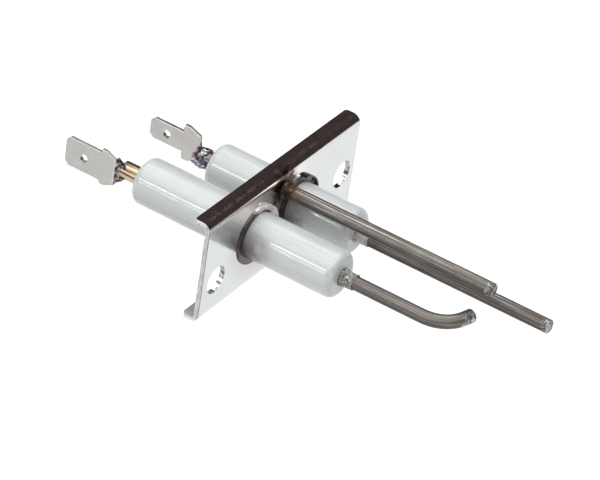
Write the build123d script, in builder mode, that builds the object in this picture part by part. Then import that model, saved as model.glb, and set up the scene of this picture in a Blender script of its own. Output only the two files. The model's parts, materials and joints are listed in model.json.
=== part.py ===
from build123d import *
import math
import os

# Twin-insulator ignition electrode for a gas burner. A pressed sheet bracket holds two
# glazed ceramic insulators, each with a wire electrode and a push-on terminal, and
# carries a welded ground rod. Nothing on it moves.
# Frame: origin midway between the two screw holes on the bracket's front face, +X along
# the rods towards their tips, +Y along the bracket towards the flame-sensing rod, +Z up.
# Millimetres.

# Bracket: a shallow channel, open to the rear
BRACKET_LENGTH = 50.0
BRACKET_HEIGHT = 21.8
BRACKET_DEPTH = 3.5
SHEET = 1.0
BEND_RADIUS = 1.8
FLANGE_CORNER = 0.8
BRACKET_CENTRE = (-0.1, 1.8)
SCREW_HOLE_DIA = 5.6
SCREW_SPAN_Y = 41.4
SCREW_RISE_Z = 2.8

# Insulators
INSULATOR_DIA = 9.4
INSULATOR_EDGE = 1.5
INSULATOR_CLEARANCE = 0.15
SHOULDER_DIA = 12.4
SHOULDER_LENGTH = 3.0
SHOULDER_EDGE = 0.5
BORE_DIA = 2.9
CEMENT_DIA = 3.6
CEMENT_DEPTH = 2.6
CEMENT_COLLAR = {"rear": 0.5, "front": 2.9}
CEMENT_COLLAR_END_DIA = 3.1
AXIS_Z = 2.5

# Split retaining rings on the front of the bracket, with turned-up ends at the split
RING_DIA = 12.2
RING_THICKNESS = 0.3
RING_EDGE = 0.12
RING_RIM = 0.85
RING_RIM_WIDTH = 0.3
RING_RIM_ARC = 80.0
RING_GAP = 0.5
RING_GAP_ANGLE = 42.0

# Rods
ROD_DIA = 2.7
ROD_CHAMFER = 0.2
SPARK_BEND_START = 36.4
SPARK_BEND_RADIUS = 6.2
SPARK_BEND_ANGLE = 73.0
SPARK_TIP_LENGTH = 2.25
FLAME_TIP = 55.4
GROUND_TIP = 45.5
GROUND_AXIS = (0.0, 8.3)
GROUND_WELD_DIA = 4.1
GROUND_WELD_LENGTH = 0.9
GROUND_WELD_CROWN = 0.15
WELD_TO_RING_GAP = 0.1

# Terminals: a folded double-thickness tab, a tapered neck and a single-thickness barrel
# rolled round the rod
TAB_THICKNESS = 0.8
BARREL_WALL = 0.4
TAB_OFFSET = 2.15
TAB_CHAMFER = 0.9
TAB_EDGE = 0.12
TAB_HOLE_DIA = 1.7
TAB_SHOULDER_HALF = 3.85
TAB_SHOULDER_STEP = 0.25
TAB_FLAT_LENGTH = 11.3
NECK_HALF = 2.8
NECK_END_HALF = 1.0
NECK_LENGTH = 0.7
WING_LENGTH = 1.5
WING_OVERLAP = 0.3
WING_ROOT_HALF = 2.7
WING_TIP_HALF = 1.45
WING_INNER_HALF = 1.1
WING_DEPTH = (0.9, 1.85)
BARREL_LENGTH = 3.6
SEAM_WIDTH = 0.9
SEAM_CROWN = 0.25
NUGGET_DIA = 4.2
NUGGET_LENGTH = 4.0
NUGGET_EDGE = 1.8
NUGGET_INSET = 0.4

rod_radius = ROD_DIA / 2
insulator_radius = INSULATOR_DIA / 2
ring_radius = RING_DIA / 2
barrel_radius = rod_radius + BARREL_WALL

# One entry per insulated electrode. tab_side says which side of the rod the tab lies on.
# Where welded_over is set, the barrel is buried in a weld nugget; otherwise only its seam
# is welded.
electrodes = {
    "spark": {
        "y": -8.4,
        "rear": -25.5,
        "front": 19.1,
        "tab_rear": -41.8,
        "tab_side": -1,
        "tab_width": 6.3,
        "tab_length": 7.9,
        "tab_hole": 4.3,
        "shoulder_flat": 1.0,
        "welded_over": False,
    },
    "flame": {
        "y": 5.1,
        "rear": -18.4,
        "front": 13.7,
        "tab_rear": -34.95,
        "tab_side": 1,
        "tab_width": 4.5,
        "tab_length": 7.4,
        "tab_hole": 3.9,
        "shoulder_flat": 1.2,
        "welded_over": True,
    },
}


def section_at(y, z=AXIS_Z):
    """Upright plane along the rods: local x runs with them, local y is up."""
    return Plane(origin=(0, y, z), x_dir=(1, 0, 0), z_dir=(0, -1, 0))


def axis_at(y):
    """The electrode's own axis."""
    return Axis((0, y, AXIS_Z), (1, 0, 0))


def barrel_start(electrode):
    """Rear end of the barrel, where the rod begins."""
    return electrode["tab_rear"] + TAB_FLAT_LENGTH + NECK_LENGTH


os.makedirs("parts", exist_ok=True)

# ---------------------------------------------------------------- bracket
with BuildPart() as mounting_bracket:
    with BuildSketch(section_at(*BRACKET_CENTRE)) as channel:
        Rectangle(BRACKET_DEPTH, BRACKET_HEIGHT, align=(Align.MAX, Align.CENTER))
        fillet(channel.vertices().group_by(Axis.X)[-1], BEND_RADIUS)
        with BuildSketch(mode=Mode.PRIVATE) as hollow:
            with Locations((-SHEET, 0)):
                Rectangle(
                    BRACKET_DEPTH,
                    BRACKET_HEIGHT - 2 * SHEET,
                    align=(Align.MAX, Align.CENTER),
                )
            fillet(hollow.vertices().group_by(Axis.X)[-1], BEND_RADIUS - SHEET)
        add(hollow.sketch, mode=Mode.SUBTRACT)
    extrude(amount=BRACKET_LENGTH / 2, both=True)
    flange_corners = mounting_bracket.edges().filter_by(Axis.Z).group_by(Axis.X)[0]
    fillet(flange_corners, FLANGE_CORNER)
    with BuildSketch(Plane.YZ):
        for electrode in electrodes.values():
            with Locations((electrode["y"], AXIS_Z)):
                Circle(insulator_radius + INSULATOR_CLEARANCE)
        for side in (-1, 1):
            with Locations((side * SCREW_SPAN_Y / 2, side * SCREW_RISE_Z / 2)):
                Circle(SCREW_HOLE_DIA / 2)
    extrude(amount=-SHEET, mode=Mode.SUBTRACT)
mounting_bracket.part.label = "mounting_bracket"
export_step(mounting_bracket.part, "parts/mounting_bracket.step")

# ---------------------------------------------------------------- insulated electrodes
for name, electrode in electrodes.items():
    y = electrode["y"]
    rear = electrode["rear"]
    front = electrode["front"]

    # Glazed ceramic with a hidden shoulder that bears on the back of the bracket
    with BuildPart() as insulator:
        with BuildSketch(section_at(y)):
            with BuildSketch(mode=Mode.PRIVATE) as barrel:
                with Locations((rear, 0)):
                    Rectangle(front - rear, insulator_radius, align=Align.MIN)
                fillet(barrel.vertices().group_by(Axis.Y)[-1], INSULATOR_EDGE)
            with BuildSketch(mode=Mode.PRIVATE) as shoulder:
                with Locations((-SHEET, 0)):
                    Rectangle(
                        SHOULDER_LENGTH, SHOULDER_DIA / 2, align=(Align.MAX, Align.MIN)
                    )
                fillet(shoulder.vertices().group_by(Axis.Y)[-1], SHOULDER_EDGE)
            add(barrel.sketch)
            add(shoulder.sketch)
            with Locations((rear, 0)):
                Rectangle(
                    front - rear, BORE_DIA / 2, align=Align.MIN, mode=Mode.SUBTRACT
                )
                Rectangle(
                    CEMENT_DEPTH, CEMENT_DIA / 2, align=Align.MIN, mode=Mode.SUBTRACT
                )
            with Locations((front, 0)):
                Rectangle(
                    CEMENT_DEPTH,
                    CEMENT_DIA / 2,
                    align=(Align.MAX, Align.MIN),
                    mode=Mode.SUBTRACT,
                )
        revolve(axis=axis_at(y))
    insulator.part.label = f"{name}_insulator"
    export_step(insulator.part, f"parts/{name}_insulator.step")

    # Refractory cement round the rod at each end of the insulator
    for end, face, outward in (("rear", rear, -1), ("front", front, 1)):
        with BuildPart() as cement:
            with BuildSketch(section_at(y)):
                with BuildLine():
                    Polyline(
                        (face - outward * CEMENT_DEPTH, rod_radius),
                        (face - outward * CEMENT_DEPTH, CEMENT_DIA / 2),
                        (face, CEMENT_DIA / 2),
                        (face + outward * CEMENT_COLLAR[end], CEMENT_COLLAR_END_DIA / 2),
                        (face + outward * CEMENT_COLLAR[end], rod_radius),
                        close=True,
                    )
                make_face()
            revolve(axis=axis_at(y))
        cement.part.label = f"{name}_{end}_cement"
        export_step(cement.part, f"parts/{name}_{end}_cement.step")

    # Split spring ring: a thin washer whose rim is turned up on both sides of the split
    with BuildPart() as retaining_ring:
        with BuildSketch(section_at(y)):
            with BuildSketch(mode=Mode.PRIVATE) as washer:
                with Locations((0, insulator_radius)):
                    Rectangle(
                        RING_THICKNESS, ring_radius - insulator_radius, align=Align.MIN
                    )
                fillet(washer.vertices().group_by(Axis.X)[-1], RING_EDGE)
            add(washer.sketch)
        revolve(axis=axis_at(y))
        with BuildSketch(Plane.YZ):
            with Locations(Location((y, AXIS_Z), RING_GAP_ANGLE)):
                half_arc = math.radians(RING_RIM_ARC / 2)
                reach = 2 * ring_radius
                spread = reach * math.tan(half_arc)
                Polygon((0, 0), (reach, -spread), (reach, spread), align=None)
            with Locations((y, AXIS_Z)):
                Circle(ring_radius, mode=Mode.INTERSECT)
                Circle(ring_radius - RING_RIM_WIDTH, mode=Mode.SUBTRACT)
        extrude(amount=RING_RIM)
        with BuildSketch(Plane.YZ):
            with Locations(Location((y, AXIS_Z), RING_GAP_ANGLE)):
                Rectangle(2 * ring_radius, RING_GAP, align=(Align.MIN, Align.CENTER))
        extrude(amount=RING_RIM, mode=Mode.SUBTRACT)
    retaining_ring.part.label = f"{name}_retaining_ring"
    export_step(retaining_ring.part, f"parts/{name}_retaining_ring.step")

    # Terminal: the tab's flat is joggled out from the rod on its own side
    side = electrode["tab_side"]
    tab_rear = electrode["tab_rear"]
    tab_half = electrode["tab_width"] / 2
    shoulder_x = tab_rear + electrode["tab_length"]
    flat_end = tab_rear + TAB_FLAT_LENGTH
    seam_side = -side
    with BuildPart() as terminal:
        with BuildSketch(section_at(y).offset(-side * TAB_OFFSET)):
            with BuildLine():
                outline = Polyline(
                    (tab_rear, 0),
                    (tab_rear, tab_half - TAB_CHAMFER),
                    (tab_rear + TAB_CHAMFER, tab_half),
                    (shoulder_x, tab_half),
                    (shoulder_x + TAB_SHOULDER_STEP, TAB_SHOULDER_HALF),
                    (
                        shoulder_x + TAB_SHOULDER_STEP + electrode["shoulder_flat"],
                        TAB_SHOULDER_HALF,
                    ),
                    (flat_end, NECK_HALF),
                    (flat_end, 0),
                )
                mirror(outline, about=Plane.XZ)
            make_face()
        extrude(amount=TAB_THICKNESS / 2, both=True)
        rim_edges = terminal.edges().filter_by(Axis.Y, reverse=True)
        lead_in = rim_edges.filter_by_position(Axis.X, tab_rear - TAB_EDGE, flat_end - TAB_EDGE)
        chamfer(lead_in, TAB_EDGE)
        with BuildSketch(section_at(y)):
            with Locations((tab_rear + electrode["tab_hole"], 0)):
                Circle(TAB_HOLE_DIA / 2)
        extrude(amount=-side * 2 * TAB_OFFSET, mode=Mode.SUBTRACT)
        # Neck down to the barrel's floor
        with BuildSketch(Plane.YZ.offset(flat_end)):
            with Locations((y + side * TAB_OFFSET, AXIS_Z)):
                Rectangle(TAB_THICKNESS, 2 * NECK_HALF)
        with BuildSketch(Plane.YZ.offset(flat_end + NECK_LENGTH)):
            with Locations((y + side * (rod_radius + BARREL_WALL / 2), AXIS_Z)):
                Rectangle(BARREL_WALL, 2 * NECK_END_HALF)
        loft()
        # Wings that fold in from the flat's corners to the barrel, unless a nugget took them in
        if not electrode["welded_over"]:
            with BuildSketch(section_at(y)):
                with BuildLine():
                    Polyline(
                        (flat_end - WING_OVERLAP, WING_INNER_HALF),
                        (flat_end - WING_OVERLAP, WING_ROOT_HALF),
                        (flat_end + WING_LENGTH, WING_TIP_HALF),
                        (flat_end + WING_LENGTH, WING_INNER_HALF),
                        close=True,
                    )
                make_face()
                mirror(about=Plane.XZ)
            near, far = WING_DEPTH
            extrude(amount=-side * far)
            with BuildSketch(section_at(y)):
                with Locations((flat_end + WING_LENGTH / 2, 0)):
                    Rectangle(2 * WING_LENGTH, 4 * WING_ROOT_HALF)
            extrude(amount=-side * near, mode=Mode.SUBTRACT)
        # Barrel rolled round the rod, with its seam away from the tab
        with BuildSketch(Plane.YZ.offset(flat_end + NECK_LENGTH)):
            with Locations((y, AXIS_Z)):
                Circle(barrel_radius)
                Circle(rod_radius, mode=Mode.SUBTRACT)
            with Locations((y + seam_side * barrel_radius, AXIS_Z)):
                Rectangle(2 * barrel_radius, SEAM_WIDTH, mode=Mode.SUBTRACT)
        extrude(amount=BARREL_LENGTH)
    terminal.part.label = f"{name}_terminal"
    export_step(terminal.part, f"parts/{name}_terminal.step")

    # Weld: a nugget melted over the whole barrel, or a run that fills its seam
    with BuildPart() as terminal_weld:
        if electrode["welded_over"]:
            with BuildSketch(section_at(y)):
                with BuildSketch(mode=Mode.PRIVATE) as nugget:
                    with Locations((flat_end + NUGGET_INSET, 0)):
                        Rectangle(NUGGET_LENGTH, NUGGET_DIA / 2, align=Align.MIN)
                    fillet(nugget.vertices().group_by(Axis.Y)[-1], NUGGET_EDGE)
                add(nugget.sketch)
            revolve(axis=axis_at(y))
            with BuildSketch(Plane.YZ.offset(flat_end + NECK_LENGTH)):
                with Locations((y, AXIS_Z)):
                    Circle(rod_radius)
            extrude(amount=NUGGET_LENGTH, mode=Mode.SUBTRACT)
            add(terminal.part, mode=Mode.SUBTRACT)
            # The terminal cuts off a sliver on the tab's side, which is left out
            nugget_body = terminal_weld.solids().sort_by(SortBy.VOLUME)[-1]
            add(nugget_body, mode=Mode.REPLACE)
        else:
            with BuildSketch(Plane.YZ.offset(flat_end + NECK_LENGTH)):
                with Locations((y, AXIS_Z)):
                    Circle(barrel_radius + SEAM_CROWN)
                    Circle(rod_radius, mode=Mode.SUBTRACT)
                with Locations((y + seam_side * barrel_radius, AXIS_Z)):
                    Rectangle(2 * barrel_radius, SEAM_WIDTH, mode=Mode.INTERSECT)
            extrude(amount=BARREL_LENGTH)
    terminal_weld.part.label = f"{name}_terminal_weld"
    export_step(terminal_weld.part, f"parts/{name}_terminal_weld.step")

# ---------------------------------------------------------------- rods
spark = electrodes["spark"]
with BuildPart() as spark_rod:
    with BuildLine(Plane.XY.offset(AXIS_Z)) as spark_route:
        shank = Line((barrel_start(spark), spark["y"]), (SPARK_BEND_START, spark["y"]))
        bend = JernArc(shank @ 1, shank % 1, SPARK_BEND_RADIUS, SPARK_BEND_ANGLE)
        Line(bend @ 1, bend @ 1 + SPARK_TIP_LENGTH * (bend % 1))
    with BuildSketch(Plane(origin=shank @ 0, z_dir=shank % 0)):
        Circle(rod_radius)
    sweep()
    spark_ends = spark_rod.faces().filter_by(GeomType.PLANE).edges()
    chamfer(spark_ends, ROD_CHAMFER)
spark_rod.part.label = "spark_rod"
export_step(spark_rod.part, "parts/spark_rod.step")

flame = electrodes["flame"]
with BuildPart() as flame_rod:
    with BuildSketch(Plane.YZ.offset(barrel_start(flame))):
        with Locations((flame["y"], AXIS_Z)):
            Circle(rod_radius)
    extrude(amount=FLAME_TIP - barrel_start(flame))
    chamfer(flame_rod.faces().filter_by(GeomType.PLANE).edges(), ROD_CHAMFER)
flame_rod.part.label = "flame_rod"
export_step(flame_rod.part, "parts/flame_rod.step")

with BuildPart() as ground_rod:
    with BuildSketch(Plane.YZ):
        with Locations(GROUND_AXIS):
            Circle(rod_radius)
    extrude(amount=GROUND_TIP)
    chamfer(ground_rod.faces().sort_by(Axis.X)[-1].edges(), ROD_CHAMFER)
ground_rod.part.label = "ground_rod"
export_step(ground_rod.part, "parts/ground_rod.step")

# Weld fillet that joins the ground rod to the bracket, kept clear of the flame ring
with BuildPart() as ground_rod_weld:
    with BuildSketch(section_at(*GROUND_AXIS)):
        with BuildLine():
            toe = (0, GROUND_WELD_DIA / 2)
            crest = (GROUND_WELD_LENGTH, rod_radius)
            SagittaArc(toe, crest, GROUND_WELD_CROWN)
            Polyline(crest, (0, rod_radius), toe)
        make_face()
    revolve(axis=Axis((0, *GROUND_AXIS), (1, 0, 0)))
    with BuildSketch(Plane.YZ):
        with Locations((flame["y"], AXIS_Z)):
            Circle(ring_radius + WELD_TO_RING_GAP)
    extrude(amount=2 * GROUND_WELD_LENGTH, mode=Mode.SUBTRACT)
ground_rod_weld.part.label = "ground_rod_weld"
export_step(ground_rod_weld.part, "parts/ground_rod_weld.step")
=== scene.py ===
"""Looks for the ignition electrode: materials, uneven welds and cement, studio and camera.

Row frame, metres: origin midway between the bracket's screw holes on its front face, +X along
the rods towards their tips, +Y towards the flame-sensing rod, +Z up. Constants and shader lengths
are in mm, unless a comment says metres, and angles are in degrees. A pair of lengths says where
a look starts and where it is full.
"""

import json
import math

import bpy
from mathutils import Matrix, Vector, noise


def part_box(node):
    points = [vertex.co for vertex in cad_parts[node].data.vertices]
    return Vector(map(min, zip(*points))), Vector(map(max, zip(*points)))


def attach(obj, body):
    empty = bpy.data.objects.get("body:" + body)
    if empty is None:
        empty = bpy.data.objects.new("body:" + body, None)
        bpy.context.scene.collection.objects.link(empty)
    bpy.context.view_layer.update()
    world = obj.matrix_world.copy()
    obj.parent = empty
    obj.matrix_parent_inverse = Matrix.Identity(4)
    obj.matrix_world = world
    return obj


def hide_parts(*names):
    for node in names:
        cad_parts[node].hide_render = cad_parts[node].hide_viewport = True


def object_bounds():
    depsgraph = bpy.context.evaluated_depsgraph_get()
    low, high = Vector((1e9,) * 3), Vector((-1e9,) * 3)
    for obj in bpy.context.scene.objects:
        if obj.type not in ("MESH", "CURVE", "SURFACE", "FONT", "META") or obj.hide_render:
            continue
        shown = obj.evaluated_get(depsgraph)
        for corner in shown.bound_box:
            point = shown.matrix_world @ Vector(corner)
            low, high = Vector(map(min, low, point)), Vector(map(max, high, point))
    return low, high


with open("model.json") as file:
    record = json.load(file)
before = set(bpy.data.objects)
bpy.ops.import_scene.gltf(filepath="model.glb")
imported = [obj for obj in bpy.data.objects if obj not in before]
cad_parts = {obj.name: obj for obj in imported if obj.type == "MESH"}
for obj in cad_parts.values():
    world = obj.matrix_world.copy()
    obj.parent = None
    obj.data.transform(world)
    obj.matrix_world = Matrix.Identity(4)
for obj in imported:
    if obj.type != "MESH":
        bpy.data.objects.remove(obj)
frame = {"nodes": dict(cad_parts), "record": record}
cad_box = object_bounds()

MM = 0.001
NODES = frame["nodes"]


def axis_of(node):
    """Centre of a node's box across the rods, as (y, z) in mm."""
    low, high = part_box(node)
    centre = (low + high) / 2
    return centre.y / MM, centre.z / MM


def x_range(node):
    """Rear and front of a node along the rods, in mm."""
    low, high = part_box(node)
    return low.x / MM, high.x / MM


def shifted(pair, by):
    """A pair of lengths measured from somewhere else."""
    return pair[0] + by, pair[1] + by


# ---------------------------------------------------------------- shader building

NOISE_RANGE = (0.3, 0.7)


class Shader:
    """A node tree ending in one Principled surface, with short calls for what is used here."""

    def __init__(self, name, metallic=0.0, ior=1.45):
        self.material = bpy.data.materials.new(name)
        self.material.use_nodes = True
        self.tree = self.material.node_tree
        self.tree.nodes.clear()
        self.surface = self.node("ShaderNodeBsdfPrincipled")
        self.surface.inputs["Metallic"].default_value = metallic
        self.surface.inputs["IOR"].default_value = ior
        output = self.node("ShaderNodeOutputMaterial")
        self.tree.links.new(self.surface.outputs["BSDF"], output.inputs["Surface"])
        coordinates = self.node("ShaderNodeTexCoord")
        self.position = self.scaled(coordinates.outputs["Object"], (1 / MM,) * 3)
        self.normal = self.node("ShaderNodeSeparateXYZ", coordinates.outputs["Normal"]).outputs
        split = self.node("ShaderNodeSeparateXYZ", self.position)
        self.x, self.y, self.z = (split.outputs[axis] for axis in "XYZ")

    def node(self, kind, *inputs, **properties):
        """A new node. Each input is a socket to link, a value to set, or None to leave."""
        made = self.tree.nodes.new(kind)
        for name, value in properties.items():
            setattr(made, name, value)
        for socket, value in zip(made.inputs, inputs):
            self.feed(socket, value)
        return made

    def feed(self, socket, value):
        if isinstance(value, bpy.types.NodeSocket):
            self.tree.links.new(value, socket)
        elif value is not None:
            socket.default_value = value

    def set(self, name, value):
        """Feeds one input of the Principled surface."""
        if isinstance(value, tuple) and len(value) == 3 and name != "Subsurface Radius":
            value = (*value, 1.0)
        self.feed(self.surface.inputs[name], value)

    def math(self, operation, a, b=None):
        return self.node("ShaderNodeMath", a, b, operation=operation).outputs[0]

    def plus(self, a, b):
        return self.math("ADD", a, b)

    def minus(self, a, b):
        return self.math("SUBTRACT", a, b)

    def times(self, a, b):
        return self.math("MULTIPLY", a, b)

    def scaled(self, vector, factors):
        return self.node("ShaderNodeVectorMath", vector, factors, operation="MULTIPLY").outputs[0]

    def noise(self, size, stretch=(1, 1, 1), detail=2.0, roughness=0.5, distortion=0.0, where=None):
        """Noise, mostly within NOISE_RANGE, with features of that size, longer along stretch."""
        vector = self.scaled(where or self.position, tuple(1 / (size * s) for s in stretch))
        made = self.node("ShaderNodeTexNoise", vector)
        made.inputs["Scale"].default_value = 1.0
        made.inputs["Detail"].default_value = detail
        made.inputs["Roughness"].default_value = roughness
        made.inputs["Distortion"].default_value = distortion
        return made.outputs["Fac"]

    def fade(self, value, start, end, low=0.0, high=1.0):
        """Goes smoothly from low to high as value goes from start to end."""
        made = self.node("ShaderNodeMapRange", value, interpolation_type="SMOOTHSTEP")
        if start > end:
            start, end, low, high = end, start, high, low
        for socket, number in zip(list(made.inputs)[1:5], (start, end, low, high)):
            socket.default_value = number
        return made.outputs[0]

    def varied(self, noise_value, low, high):
        """Goes from low to high as noise goes through its range."""
        return self.fade(noise_value, *NOISE_RANGE, low, high)

    def mix(self, share, a, b, blend="MIX"):
        """Colour a where share is 0 and b where it is 1."""
        made = self.node("ShaderNodeMix", data_type="RGBA", blend_type=blend)
        for socket, value in ((made.inputs[0], share), (made.inputs[6], a), (made.inputs[7], b)):
            if isinstance(value, tuple):
                value = (*value, 1.0)
            self.feed(socket, value)
        return made.outputs[2]

    def ramp(self, share, *stops):
        """Colours between stops of (place, colour)."""
        made = self.node("ShaderNodeValToRGB", share)
        elements = made.color_ramp.elements
        for stop in stops[2:]:
            elements.new(stop[0])
        for element, (place, colour) in zip(elements, stops):
            element.position = place
            element.color = (*colour, 1.0)
        return made.outputs[0]

    def cells(self, size):
        """A random number from 0 to 1 for each of many cells of that size."""
        made = self.node("ShaderNodeTexVoronoi", self.scaled(self.position, (1 / size,) * 3))
        made.inputs["Scale"].default_value = 1.0
        split = self.node("ShaderNodeSeparateColor", made.outputs["Color"])
        return self.math("FRACT", split.outputs[0])

    def away(self, value, centre):
        """How far a coordinate is from a centre, on either side."""
        return self.math("ABSOLUTE", self.minus(value, centre))

    def distance(self, point):
        """Distance from a point."""
        made = self.node("ShaderNodeVectorMath", self.position, point, operation="DISTANCE")
        return made.outputs["Value"]

    def off_axis(self, y, z):
        """Distance from a line along the rods."""
        flat = self.node("ShaderNodeCombineXYZ", 0.0, self.y, self.z).outputs[0]
        made = self.node("ShaderNodeVectorMath", flat, (0.0, y, z), operation="DISTANCE")
        return made.outputs["Value"]

    def unrolled(self, start, centre_y, radius):
        """Position with a sideways bend, which begins at x = start, laid straight."""
        past = self.minus(self.x, start)
        inside = self.minus(centre_y, self.y)
        turned = self.math("MAXIMUM", past, 0.0)
        angle = self.math("ARCTAN2", turned, inside)
        squares = self.plus(self.times(turned, turned), self.times(inside, inside))
        reach = self.math("SQRT", squares)
        x = self.plus(self.math("MINIMUM", past, 0.0), self.times(angle, radius))
        y = self.minus(centre_y, reach)
        return self.node("ShaderNodeCombineXYZ", x, y, self.z).outputs[0]

    def bump(self, *layers):
        """Stacks bump layers of (height, depth) on the surface."""
        normal = None
        for height, depth in layers:
            made = self.node("ShaderNodeBump")
            made.inputs["Strength"].default_value = 1.0
            made.inputs["Distance"].default_value = depth * MM
            self.tree.links.new(height, made.inputs["Height"])
            if normal is not None:
                self.tree.links.new(normal, made.inputs["Normal"])
            normal = made.outputs["Normal"]
        self.tree.links.new(normal, self.surface.inputs["Normal"])


def paint(piece, material):
    piece.data.materials.clear()
    piece.data.materials.append(material)


# ---------------------------------------------------------------- sizes of the looks

HEAT_SPAN = 8.0  # a heat tint's ramp covers this length

# Bracket
SCREW_Y, SCREW_Z, SCREW_RADIUS = 20.7, 1.4, 2.8
FLANGE_WEAR = (-1.3, -0.5)  # from the top
# Painted reflection of the shaded insulator on the front face
PAINTED_REFLECTION_CENTRE = (-5.0, -3.0)  # Y and Z from the weld
PAINTED_REFLECTION_REACH = (15.0, 6.0)
PAINTED_REFLECTION_HEIGHT = 8.0
FRONT_FACE = (-0.3, -0.1)
TINT_CENTRE = (-0.6, 0.9)  # Y and Z from the weld
TINT_REACH = (4.8, 2.6)
CUT_ENDS = (24.9, 24.97)  # along Y from the middle
CUT_FRONT = (-0.22, -0.08)
# Painted highlight on the cut ends of the flange lips
HIGHLIGHTED_LIPS = (10.2, 10.5)  # along Z from the middle
HOLE_WALL = (0.08, 0.03)  # from the hole's radius

# Insulators, with heights above their own axis
FRONT_PART = (-0.2, 0.0)
# Painted shade on the insulators beside the ring
INSULATOR_SHADE_ALONG = (6.8, 0.4)
INSULATOR_SHADE_HEIGHT = (4.2, -1.0)
# Painted shade on the rear underside of the insulators
UNDERSHADE_ALONG = (-1.0, -4.0)
UNDERSHADE_HEIGHT = (1.5, -2.0)
UNDERSIDE_PAINTED_SHADE = {"spark_insulator": 0.30, "flame_insulator": 0.0}
SUBSURFACE_SCALE = 0.5

# Wires. The shade multiplies the colour, and the polish is taken off the roughness.
SPARK_AXIS_Y = axis_of("spark_insulator")[0]
SPARK_BEND_START, SPARK_BEND_RADIUS = 36.4, 6.2
# Painted shade on the lower half of each wire
WIRE_UNDERSIDE = (0.5, -0.6)
WIRE_SHADE = {"spark_rod": 1.03, "flame_rod": 0.92, "ground_rod": 1.12}
WIRE_POLISH = {"spark_rod": 0.04, "flame_rod": -0.12, "ground_rod": -0.10}
# Nicked cut ends, with painted glints on the bright facets
NICK_SIZE = 0.42
NICKED_TIP = (-1.35, -0.7)  # from the tip
BURNT_FOOT = (5.0, 1.6)

# Rings. The painted highlight starts that far from the ring's axis, towards its split; inside the
# inner edge it turns to painted shade.
RING_SPLIT_ANGLE = 42
RING_SHADED_INNER_EDGE = (5.1, 4.9)
RING_PAINTED_HIGHLIGHT = {"spark_retaining_ring": (2.2, 3.4), "flame_retaining_ring": (7.0, 8.2)}

# Red-brown end of the weld nugget, next to the ceramic
NUGGET_RED = shifted((-1.1, -0.6), x_range("flame_insulator")[0])

# Terminals
BARREL_LENGTH, NECK_LENGTH = 3.6, 0.7
BARREL_SKIN = (1.78, 1.88)
BARREL_TINT = (-0.4, -0.2)  # from the barrel's start
# Painted shade on the neck of each terminal
NECK_SHADE_INSET = {"spark_terminal": 0.0, "flame_terminal": 0.9}
NECK_SHADE_EDGE = (-0.04, 0.04)  # from the end of the bare tab, as are the next two
# Painted highlight on the cut edge of the tab
CUT_HIGHLIGHT = (-0.3, -0.2)
RIM_END = (-0.2, -0.4)
# How much painted highlight each tab's rim gets
RIM_HIGHLIGHT_SHARE = {"spark_terminal": 0.25, "flame_terminal": 1.0}
RIM_BAND = (0.24, 0.14)
TAB_HALF_THICKNESS = 0.4
WELD_TINTS = {
    "spark_terminal": (
        (0.36, (0.06, 0.04, 0.03)),
        (0.46, (0.33, 0.235, 0.145)),
        (0.56, (0.80, 0.68, 0.47)),
        (0.66, (0.24, 0.20, 0.18)),
    ),
    "flame_terminal": (
        (0.36, (0.05, 0.03, 0.04)),
        (0.46, (0.22, 0.09, 0.10)),
        (0.56, (0.14, 0.12, 0.20)),
        (0.66, (0.30, 0.20, 0.20)),
    ),
}

# The cement changes colour between the two insulators
BROWNER_CEMENT = shifted((4, 5), SPARK_AXIS_Y)


# ---------------------------------------------------------------- materials


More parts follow.
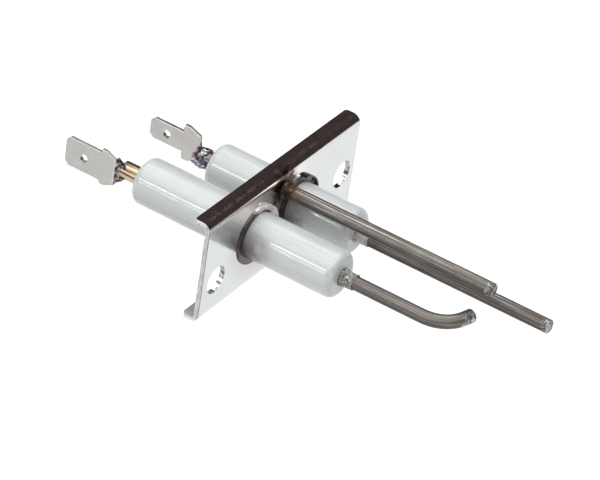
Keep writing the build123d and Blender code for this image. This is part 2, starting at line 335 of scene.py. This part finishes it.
def bracket_steel():
    """Bright rolled sheet with a dark worn top flange, dull cut edges with painted highlights on
    the flange lips, a painted reflection beside the spark ring and heat tint at the weld.
    """
    s = Shader("bracket_steel", metallic=1.0)
    low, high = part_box("mounting_bracket")
    middle_y, middle_z = (low.y + high.y) / 2 / MM, (low.z + high.z) / 2 / MM
    weld_y, weld_z = axis_of("ground_rod_weld")

    grain = s.noise(0.25, stretch=(1, 14, 1), detail=3)
    cloud = s.noise(5.0, detail=3)
    colour = s.ramp(grain, (0.3, (0.615, 0.635, 0.615)), (0.7, (0.66, 0.68, 0.66)))
    colour = s.mix(s.fade(cloud, 0.35, 0.7, 0, 0.3), colour, (0.595, 0.60, 0.58))
    pits = s.fade(s.noise(0.5, detail=1), 0.66, 0.74)
    colour = s.mix(s.times(pits, 0.3), colour, (0.40, 0.37, 0.35))

    mottle = s.noise(0.32, stretch=(1.5, 3, 1), detail=3)
    worn_top = s.ramp(mottle, (0.34, (0.445, 0.372, 0.367)), (0.66, (0.545, 0.46, 0.455)))
    colour = s.mix(s.fade(s.z, *shifted(FLANGE_WEAR, high.z / MM)), colour, worn_top)

    # Painted reflection on the front face beside the spark ring: warm grey standing for the
    # mirrored shaded insulator, paler towards the top
    centre = (0, weld_y + PAINTED_REFLECTION_CENTRE[0], weld_z + PAINTED_REFLECTION_CENTRE[1])
    painted_reflection_mask = s.times(s.fade(s.distance(centre), *PAINTED_REFLECTION_REACH), s.fade(s.x, *FRONT_FACE))
    height = s.fade(s.z, 0.0, PAINTED_REFLECTION_HEIGHT)
    painted_reflection = s.ramp(height, (0.0, (0.42, 0.36, 0.345)), (0.9, (0.90, 0.83, 0.815)))
    colour = s.mix(painted_reflection_mask, colour, painted_reflection)

    # Brown heat tint with a ragged edge round the weld
    ragged = s.varied(s.noise(1.3, detail=3), -0.8, 0.8)
    centre = (0, weld_y + TINT_CENTRE[0], weld_z + TINT_CENTRE[1])
    reach = s.plus(s.distance(centre), ragged)
    tint = s.ramp(
        s.math("DIVIDE", reach, HEAT_SPAN),
        (0.20, (0.055, 0.036, 0.028)),
        (0.33, (0.12, 0.08, 0.055)),
        (0.45, (0.30, 0.24, 0.19)),
        (0.60, (0.46, 0.43, 0.41)),
    )
    colour = s.mix(s.fade(reach, *TINT_REACH), colour, tint)

    # Sheared ends of the channel: dark along the front, with a painted highlight on the flange lips
    ends = s.fade(s.away(s.y, middle_y), *CUT_ENDS)
    tear = s.noise(0.3, stretch=(1, 1, 4), detail=2)
    sheared_with_highlight = s.ramp(tear, (0.35, (0.34, 0.325, 0.30)), (0.65, (0.56, 0.55, 0.52)))
    sheared_with_highlight = s.mix(s.fade(s.x, *CUT_FRONT), sheared_with_highlight, (0.15, 0.145, 0.135))
    sheared_with_highlight = s.mix(s.fade(s.away(s.z, middle_z), *HIGHLIGHTED_LIPS), sheared_with_highlight, (0.72, 0.69, 0.67))
    colour = s.mix(s.times(ends, 0.85), colour, sheared_with_highlight)

    # Torn walls of the two screw holes
    torn = s.ramp(s.noise(0.7, detail=3), (0.42, (0.15, 0.14, 0.135)), (0.54, (0.46, 0.45, 0.44)))
    for side in (-1, 1):
        from_hole = s.off_axis(side * SCREW_Y, side * SCREW_Z)
        colour = s.mix(s.fade(from_hole, *shifted(HOLE_WALL, SCREW_RADIUS)), colour, torn)

    s.set("Base Color", colour)
    rough = s.varied(s.noise(1.2, detail=3), 0.10, 0.17)
    rough = s.plus(rough, s.times(pits, 0.02))
    s.set("Roughness", s.plus(rough, s.times(ends, 0.2)))
    s.bump((grain, 0.0012), (s.noise(4.0, detail=1), 0.004))
    return s.material


def glazed_alumina(node):
    """White alumina under a clear glaze, faintly streaked, with painted shade next to the ring and
    on the spark insulator's rear underside.
    """
    s = Shader("glazed_alumina_" + node, ior=1.42)
    height = s.minus(s.z, axis_of(node)[1])

    cloud = s.noise(3.0, stretch=(3, 1, 1), detail=4)
    colour = s.ramp(cloud, (0.3, (0.448, 0.463, 0.458)), (0.7, (0.497, 0.511, 0.506)))
    streak = s.fade(s.noise(0.5, stretch=(60, 1, 1), detail=2), 0.42, 0.66, 0, 0.3)
    colour = s.mix(streak, colour, (0.60, 0.613, 0.611))
    specks = s.fade(s.noise(0.3, detail=1), 0.70, 0.78)
    colour = s.mix(s.times(specks, 0.3), colour, (0.26, 0.25, 0.23))

    # Painted shade on the front part next to the ring, darkest on the underside
    ragged = s.plus(s.x, s.varied(s.noise(1.5, detail=3), -0.8, 0.8))
    near_ring = s.times(s.fade(ragged, *INSULATOR_SHADE_ALONG), s.fade(s.x, *FRONT_PART))
    painted_ring_shade = s.times(near_ring, s.fade(height, *INSULATOR_SHADE_HEIGHT, 0.12, 0.94))
    colour = s.mix(painted_ring_shade, colour, (0.105, 0.088, 0.080))
    # Painted shade on the rear underside, behind the bracket
    underside = s.fade(height, *UNDERSHADE_HEIGHT, 0, UNDERSIDE_PAINTED_SHADE[node])
    painted_undershade = s.times(s.fade(s.x, *UNDERSHADE_ALONG), underside)
    colour = s.mix(painted_undershade, colour, (0.20, 0.20, 0.195))

    s.set("Base Color", colour)
    s.set("Subsurface Weight", 0.1)
    s.set("Subsurface Radius", (1.0, 1.0, 1.0))
    s.set("Subsurface Scale", SUBSURFACE_SCALE * MM)
    s.set("Roughness", s.varied(s.noise(2.5), 0.14, 0.22))
    s.set("Coat Weight", 0.3)
    s.set("Coat Roughness", 0.03)
    s.bump((s.noise(2.6, stretch=(10, 1, 1), detail=1), 0.012), (s.noise(0.5, detail=2), 0.001))
    return s.material


def electrode_wire(node):
    """Drawn heat-proof wire, lightly oxidised, with long die marks that follow its bend, painted
    shade underneath and painted glints on the cut end.
    """
    s = Shader("electrode_wire_" + node, metallic=1.0)
    along = s.position
    if node == "spark_rod":
        bend_centre = SPARK_AXIS_Y + SPARK_BEND_RADIUS
        along = s.unrolled(SPARK_BEND_START, bend_centre, SPARK_BEND_RADIUS)

    drawn = s.noise(0.20, stretch=(90, 1, 1), detail=5, roughness=0.65, where=along)
    broad = s.noise(0.7, stretch=(26, 1, 1), detail=2, where=along)
    patches = s.noise(1.6, stretch=(3, 1, 1), detail=4)
    colour = s.ramp(
        drawn,
        (0.34, (0.068, 0.060, 0.053)),
        (0.45, (0.155, 0.141, 0.130)),
        (0.56, (0.235, 0.218, 0.205)),
        (0.68, (0.56, 0.54, 0.52)),
    )
    colour = s.mix(s.fade(broad, 0.42, 0.62, 0, 0.55), colour, (0.125, 0.110, 0.098))
    colour = s.mix(s.fade(patches, 0.50, 0.68, 0, 0.45), colour, (0.17, 0.135, 0.110))
    olive = s.fade(s.noise(2.4, stretch=(3, 1, 1), detail=2), 0.56, 0.66, 0, 0.4)
    colour = s.mix(olive, colour, (0.165, 0.165, 0.105))
    grit = s.fade(s.noise(0.2, detail=2), 0.58, 0.70, 0, 0.6)
    colour = s.mix(grit, colour, (0.055, 0.046, 0.040))
    # Painted shade on the lower half of the wire
    painted_wire_undershade = s.fade(s.minus(s.z, axis_of(node)[1]), *WIRE_UNDERSIDE, 0, 0.55)
    colour = s.mix(painted_wire_undershade, colour, (0.055, 0.047, 0.042))
    colour = s.mix(1.0, colour, (WIRE_SHADE[node],) * 3, blend="MULTIPLY")

    # Cut end: nicked facets, some bright with painted glints and some dark
    facets = s.cells(NICK_SIZE)
    ragged = s.plus(s.x, s.fade(facets, 0, 1, -0.3, 0.3))
    nicked = s.fade(ragged, *shifted(NICKED_TIP, x_range(node)[1]))
    nicks_and_glints = s.ramp(
        facets,
        (0.36, (0.13, 0.118, 0.11)),
        (0.54, (0.24, 0.225, 0.215)),
        (0.72, (0.64, 0.62, 0.60)),
    )
    colour = s.mix(s.times(nicked, 0.8), colour, nicks_and_glints)

    if node == "ground_rod":
        burnt = s.plus(s.x, s.varied(s.noise(0.8, detail=2), -0.8, 0.8))
        heat = s.ramp(
            s.math("DIVIDE", burnt, HEAT_SPAN),
            (0.16, (0.070, 0.042, 0.028)),
            (0.30, (0.19, 0.125, 0.070)),
            (0.46, (0.20, 0.165, 0.125)),
        )
        colour = s.mix(s.fade(burnt, *BURNT_FOOT), colour, heat)

    s.set("Base Color", colour)
    polish = WIRE_POLISH[node]
    s.set("Roughness", s.varied(drawn, 0.66 - polish, 0.46 - polish))
    s.bump((drawn, 0.045), (s.noise(0.3, detail=2), 0.015), (s.times(facets, nicked), 0.06))
    return s.material


def ring_steel(node):
    """Dulled spring steel. The spark ring has a painted highlight on the side where it is split,
    with painted shade along its inner edge.
    """
    s = Shader("ring_steel_" + node, metallic=1.0)
    axis_y, axis_z = axis_of(node)
    split = math.radians(RING_SPLIT_ANGLE)

    cloud = s.noise(1.4, detail=3)
    dull = s.ramp(cloud, (0.3, (0.058, 0.049, 0.046)), (0.7, (0.125, 0.110, 0.105)))
    # Painted shade inside the inner edge, painted highlight outside it
    shaded_inner_edge = s.fade(s.off_axis(axis_y, axis_z), *RING_SHADED_INNER_EDGE)
    painted_highlight_and_shade = s.mix(shaded_inner_edge, (0.96, 0.91, 0.89), (0.07, 0.060, 0.057))
    towards_split = s.plus(
        s.times(s.minus(s.y, axis_y), math.cos(split)),
        s.times(s.minus(s.z, axis_z), math.sin(split)),
    )
    ragged = s.plus(towards_split, s.varied(s.noise(1.2, detail=2), -0.4, 0.4))

    s.set("Base Color", s.mix(s.fade(ragged, *RING_PAINTED_HIGHLIGHT[node]), dull, painted_highlight_and_shade))
    s.set("Metallic", s.fade(ragged, *RING_PAINTED_HIGHLIGHT[node], 1.0, 0.55))
    s.set("Roughness", s.varied(cloud, 0.30, 0.42))
    s.bump((s.noise(0.5, detail=2), 0.004))
    return s.material


def weld_metal():
    """Heat-tinted weld: blue-black and brown blotches with bare bright spots."""
    s = Shader("weld_metal", metallic=1.0)
    heat = s.noise(0.9, detail=4, distortion=0.8)
    colour = s.ramp(
        heat,
        (0.32, (0.030, 0.026, 0.028)),
        (0.43, (0.11, 0.09, 0.08)),
        (0.52, (0.22, 0.20, 0.195)),
        (0.60, (0.085, 0.125, 0.20)),
        (0.70, (0.14, 0.105, 0.10)),
    )
    ragged = s.plus(s.x, s.varied(s.noise(0.8), -0.4, 0.4))
    colour = s.mix(s.fade(ragged, *NUGGET_RED), colour, (0.30, 0.115, 0.105))
    bare = s.fade(s.noise(0.55, detail=2), 0.57, 0.63)
    s.set("Base Color", s.mix(bare, colour, (0.62, 0.62, 0.62)))
    s.set("Roughness", s.varied(s.noise(0.6), 0.16, 0.34))
    s.bump((s.noise(0.5, detail=2), 0.03))
    return s.material


def burnt_weld():
    """The ground rod's weld: rough, dark brown scale."""
    s = Shader("burnt_weld", metallic=1.0)
    heat = s.noise(0.8, detail=4, distortion=0.5)
    colour = s.ramp(
        heat,
        (0.34, (0.034, 0.023, 0.018)),
        (0.50, (0.065, 0.042, 0.030)),
        (0.66, (0.12, 0.082, 0.052)),
    )
    s.set("Base Color", colour)
    s.set("Roughness", s.varied(heat, 0.65, 0.5))
    s.bump((s.noise(0.4, detail=2), 0.02))
    return s.material


def terminal_steel(node):
    """Satin plated strip. The neck has painted shade, the cut edge and rim painted highlights, and
    the barrel is tinted by welding.
    """
    s = Shader("terminal_steel_" + node, metallic=1.0)
    grain = s.noise(0.16, stretch=(9, 1, 1), detail=3)
    cloud = s.noise(2.6, detail=3)
    colour = s.ramp(grain, (0.3, (0.415, 0.402, 0.378)), (0.7, (0.475, 0.460, 0.434)))
    colour = s.mix(s.fade(cloud, 0.35, 0.7, 0, 0.3), colour, (0.42, 0.40, 0.37))

    # Banded tint on the barrel, with painted shade wherever the strip stands off it
    tinted = s.ramp(s.noise(0.42, stretch=(30, 1, 1), detail=2), *WELD_TINTS[node])
    painted_neck_shade = s.ramp(
        s.noise(0.7, detail=3),
        (0.40, (0.045, 0.037, 0.034)),
        (0.50, (0.16, 0.14, 0.13)),
        (0.60, (0.50, 0.47, 0.45)),
    )
    off_barrel = s.off_axis(*axis_of(node.replace("terminal", "insulator")))
    tinted = s.mix(s.fade(off_barrel, *BARREL_SKIN), tinted, painted_neck_shade)

    # From the tab forwards: painted highlight on the cut edge, painted shade on the neck, tinted
    # barrel
    barrel_start = x_range(node)[1] - BARREL_LENGTH
    cut_end = barrel_start - NECK_LENGTH + NECK_SHADE_INSET[node]
    painted_cut_highlight = s.times(s.fade(s.x, *shifted(CUT_HIGHLIGHT, cut_end)), 0.7)
    colour = s.mix(painted_cut_highlight, colour, (0.60, 0.59, 0.57))
    colour = s.mix(s.fade(s.x, *shifted(NECK_SHADE_EDGE, cut_end)), colour, painted_neck_shade)
    colour = s.mix(s.fade(s.x, *shifted(BARREL_TINT, barrel_start)), colour, tinted)

    # The sheared rim of the tab is rough, with a painted highlight in a band
    tab_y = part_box(node)[0].y / MM + TAB_HALF_THICKNESS
    rim_highlight = s.fade(s.math("ABSOLUTE", s.normal["Y"]), 0.5, 0.3)
    rim_highlight = s.times(rim_highlight, s.fade(s.away(s.y, tab_y), *RIM_BAND, 0, RIM_HIGHLIGHT_SHARE[node]))
    rim_highlight = s.times(rim_highlight, s.fade(s.x, *shifted(RIM_END, cut_end)))
    colour = s.mix(rim_highlight, colour, (0.85, 0.84, 0.82))

    s.set("Base Color", colour)
    s.set("Roughness", s.plus(s.varied(cloud, 0.26, 0.38), s.times(rim_highlight, 0.3)))
    s.bump((grain, 0.004), (s.noise(0.4, detail=2), 0.005))
    return s.material


def refractory_cement():
    """Coarse cement with dark and pale grains, greener round the spark rod, else browner."""
    s = Shader("refractory_cement", ior=1.5)
    grit = s.noise(0.3, detail=3)
    greener = s.ramp(
        grit,
        (0.34, (0.055, 0.06, 0.05)),
        (0.48, (0.15, 0.155, 0.135)),
        (0.60, (0.30, 0.305, 0.275)),
        (0.70, (0.62, 0.62, 0.59)),
    )
    browner = s.ramp(
        grit,
        (0.36, (0.24, 0.215, 0.20)),
        (0.52, (0.42, 0.39, 0.37)),
        (0.68, (0.66, 0.625, 0.60)),
    )
    s.set("Base Color", s.mix(s.fade(s.y, *BROWNER_CEMENT), greener, browner))
    s.set("Roughness", 0.8)
    s.bump((grit, 0.1))
    return s.material


SHARED_FINISH = {
    "bracket_steel": bracket_steel(),
    "weld_metal": weld_metal(),
    "refractory_cement": refractory_cement(),
}
FINISH_BY_NODE = {
    "glazed_alumina": glazed_alumina,
    "electrode_wire": electrode_wire,
    "ring_steel": ring_steel,
    "terminal_steel": terminal_steel,
}

finish_of = {}
for subpart in frame["record"]["subparts"]:
    node, slot = subpart["node"], subpart["material_slot"]
    if slot in FINISH_BY_NODE:
        finish_of[node] = FINISH_BY_NODE[slot](node)
    else:
        finish_of[node] = SHARED_FINISH[slot]
finish_of["ground_rod_weld"] = burnt_weld()
for node, finish in finish_of.items():
    paint(NODES[node], finish)


# ---------------------------------------------------------------- uneven and softened pieces

SMOOTHING_PASSES = 3
SOFT_EDGE_SEGMENTS = 2
SHARP_ANGLE = 50
NUGGET_SKIN = ((1.6, 0.35), (0.7, 0.16))
BEAD_SKIN = ((1.4, 0.14), (0.5, 0.04))
RUN_SKIN = ((0.8, 0.12), (0.35, 0.08))
CEMENT_SKIN = ((1.0, 0.14), (0.4, 0.12), (0.2, 0.08))
CEMENTS = ("spark_front_cement", "spark_rear_cement", "flame_front_cement", "flame_rear_cement")


def copy_of(node, name):
    """A new piece in a CAD node's shape."""
    piece = bpy.data.objects.new(name, NODES[node].data.copy())
    bpy.context.scene.collection.objects.link(piece)
    return piece


def stand_for(node, piece):
    """Puts a shaped piece in a CAD node's place."""
    paint(piece, finish_of[node])
    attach(piece, "root")
    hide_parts(node)


def uneven(node, name, slot, voxel, *layers, slimmer=0.0):
    """Stands for a CAD node with an uneven skin of layers of (size, depth).

    The piece is also made that much slimmer all round, but no shorter along the rods.
    """
    piece = copy_of(node, name)
    remesh = piece.modifiers.new("remesh", "REMESH")
    remesh.mode = "VOXEL"
    remesh.voxel_size = voxel * MM
    smooth = piece.modifiers.new("smooth", "SMOOTH")
    smooth.iterations = SMOOTHING_PASSES
    shaped = piece.evaluated_get(bpy.context.evaluated_depsgraph_get())
    fine = bpy.data.meshes.new_from_object(shaped)
    piece.modifiers.clear()
    piece.data = fine
    normals = [vertex.normal.copy() for vertex in fine.vertices]
    for vertex, normal in zip(fine.vertices, normals):
        place = vertex.co / MM
        height = sum(depth * noise.noise(place / size) for size, depth in layers)
        vertex.co += (normal * height - Vector((0.0, normal.y, normal.z)) * slimmer) * MM
    for polygon in fine.polygons:
        polygon.use_smooth = True
    stand_for(node, piece)


def softened(node, name, width):
    """Stands for a CAD node with its sharp edges broken, so that they catch the light."""
    piece = copy_of(node, name)
    bevel = piece.modifiers.new("soft_edges", "BEVEL")
    bevel.width = width * MM
    bevel.segments = SOFT_EDGE_SEGMENTS
    bevel.limit_method = "ANGLE"
    bevel.angle_limit = math.radians(SHARP_ANGLE)
    stand_for(node, piece)


uneven("flame_terminal_weld", "flame_weld_nugget", "weld_metal", 0.09, *NUGGET_SKIN)
uneven("ground_rod_weld", "ground_weld_bead", "weld_metal", 0.08, *BEAD_SKIN, slimmer=0.15)
uneven("spark_terminal_weld", "spark_weld_run", "weld_metal", 0.06, *RUN_SKIN)
for cement in CEMENTS:
    uneven(cement, cement + "_plug", "refractory_cement", 0.08, *CEMENT_SKIN, slimmer=0.13)
softened("mounting_bracket", "bracket_plate", 0.1)


# ---------------------------------------------------------------- studio

CAMERA_AZIMUTH = 28.95
CAMERA_ELEVATION = 34.38
CAMERA_ROLL = 8.77
CAMERA_DISTANCE = 0.7012  # metres
CAMERA_LENS = 227.3
CAMERA_CLIP = (0.01, 50)  # metres
PLATE_CENTRE = Vector((0, -0.1, 1.8)) * MM
AIM_RIGHT, AIM_DOWN = 3.57 * MM, 4.01 * MM

FLOOR_SIZE = 8.0  # metres
FLOOR_DROP = 0.05  # metres, below the object
FLOOR_CLOUDS = 400.0
FLOOR_SHADES = ((0.83, 0.83, 0.83), (0.84, 0.84, 0.84))

# Light banks: direction, half angle, and the angle over which they fade out beyond that
OVERHEAD_BANK = ((0, -0.09, 1), 42.5, 3)
OVERHEAD_RADIANCE = (2.72, 2.76, 2.8)
FRONT_BANK = ((-0.40, -0.84, 0.37), 14, 12)
FRONT_RADIANCE = (1.25, 1.25, 1.25)
ROOM_RADIANCE = (0.072, 0.060, 0.057)
BACKDROP_RADIANCE = (1, 1, 1)

# Each row of lamps has a lean from straight above and an energy. Its lamps differ in the X part
# of their direction.
SPARKLE_ROWS = ((60, 0.05), (75, 0.028))
SPARKLE_ALONG = (-0.372, -0.406, -0.440)
SPARKLE_WIDTH = 2.2


def camera_axes():
    """Right, up and back of the camera before it is re-aimed."""
    azimuth, elevation, roll = (
        math.radians(angle) for angle in (CAMERA_AZIMUTH, CAMERA_ELEVATION, CAMERA_ROLL)
    )
    back = Vector(
        (
            math.sin(azimuth) * math.cos(elevation),
            -math.cos(azimuth) * math.cos(elevation),
            math.sin(elevation),
        )
    )
    level = Vector((math.cos(azimuth), math.sin(azimuth), 0))
    right = math.cos(roll) * level + math.sin(roll) * back.cross(level)
    return right, back.cross(right), back


def add_camera():
    right, up, back = camera_axes()
    place = PLATE_CENTRE + CAMERA_DISTANCE * back
    target = PLATE_CENTRE + AIM_RIGHT * right - AIM_DOWN * up
    back = (place - target).normalized()
    up = back.cross(right).normalized()
    right = up.cross(back)
    turn = Matrix((right, up, back)).transposed().to_4x4()
    data = bpy.data.cameras.new("camera")
    data.lens = CAMERA_LENS
    data.clip_start, data.clip_end = CAMERA_CLIP
    camera = bpy.data.objects.new("camera", data)
    camera.matrix_world = Matrix.Translation(place) @ turn
    bpy.context.scene.collection.objects.link(camera)
    bpy.context.scene.camera = camera


def add_floor():
    half = FLOOR_SIZE / 2
    level = cad_box[0].z - FLOOR_DROP
    corners = [(x * half, y * half, level) for x, y in ((-1, -1), (1, -1), (1, 1), (-1, 1))]
    mesh = bpy.data.meshes.new("floor")
    mesh.from_pydata(corners, [], [(0, 1, 2, 3)])
    floor = bpy.data.objects.new("floor", mesh)
    bpy.context.scene.collection.objects.link(floor)
    s = Shader("studio_floor")
    s.set("Base Color", s.mix(s.noise(FLOOR_CLOUDS), *FLOOR_SHADES))
    s.set("Roughness", 0.9)
    s.set("Specular IOR Level", 0.1)
    paint(floor, s.material)


def add_world():
    """A wide overhead light bank, a low front one and a dark room, all before a white backdrop."""
    world = bpy.data.worlds.new("studio")
    world.use_nodes = True
    bpy.context.scene.world = world
    tree = world.node_tree
    tree.nodes.clear()
    direction = tree.nodes.new("ShaderNodeTexCoord").outputs["Generated"]

    def inside(towards, half_angle, soft_angle):
        """1 inside a light bank and 0 outside it."""
        dot = tree.nodes.new("ShaderNodeVectorMath")
        dot.operation = "DOT_PRODUCT"
        tree.links.new(direction, dot.inputs[0])
        dot.inputs[1].default_value = Vector(towards).normalized()
        fade = tree.nodes.new("ShaderNodeMapRange")
        fade.interpolation_type = "SMOOTHSTEP"
        tree.links.new(dot.outputs["Value"], fade.inputs[0])
        fade.inputs[1].default_value = math.cos(math.radians(half_angle + soft_angle))
        fade.inputs[2].default_value = math.cos(math.radians(half_angle))
        return fade.outputs[0]

    def layered(share, below, radiance):
        """Radiance over what is below it, which is a radiance or a socket."""
        mix = tree.nodes.new("ShaderNodeMix")
        mix.data_type = "RGBA"
        tree.links.new(share, mix.inputs[0])
        if isinstance(below, tuple):
            mix.inputs[6].default_value = (*below, 1)
        else:
            tree.links.new(below, mix.inputs[6])
        mix.inputs[7].default_value = (*radiance, 1)
        return mix.outputs[2]

    colour = layered(inside(*FRONT_BANK), ROOM_RADIANCE, FRONT_RADIANCE)
    colour = layered(inside(*OVERHEAD_BANK), colour, OVERHEAD_RADIANCE)
    # Only the camera sees the backdrop
    camera_ray = tree.nodes.new("ShaderNodeLightPath").outputs["Is Camera Ray"]
    colour = layered(camera_ray, colour, BACKDROP_RADIANCE)
    background = tree.nodes.new("ShaderNodeBackground")
    tree.links.new(colour, background.inputs["Color"])
    output = tree.nodes.new("ShaderNodeOutputWorld")
    tree.links.new(background.outputs[0], output.inputs["Surface"])


def add_sparkle():
    """Two rows of small distant lamps that draw thin bright lines along the cylinders."""
    for lean, energy in SPARKLE_ROWS:
        for along in SPARKLE_ALONG:
            across = math.sqrt(1 - along**2)
            lean_y, lean_z = -math.sin(math.radians(lean)), math.cos(math.radians(lean))
            data = bpy.data.lights.new("sparkle", "SUN")
            data.energy = energy
            data.angle = math.radians(SPARKLE_WIDTH)
            lamp = bpy.data.objects.new("sparkle", data)
            lamp.rotation_mode = "QUATERNION"
            towards = Vector((along, across * lean_y, across * lean_z))
            lamp.rotation_quaternion = towards.to_track_quat("Z", "Y")
            bpy.context.scene.collection.objects.link(lamp)


add_camera()
add_floor()
add_world()
add_sparkle()
bpy.context.scene.view_settings.view_transform = "Standard"
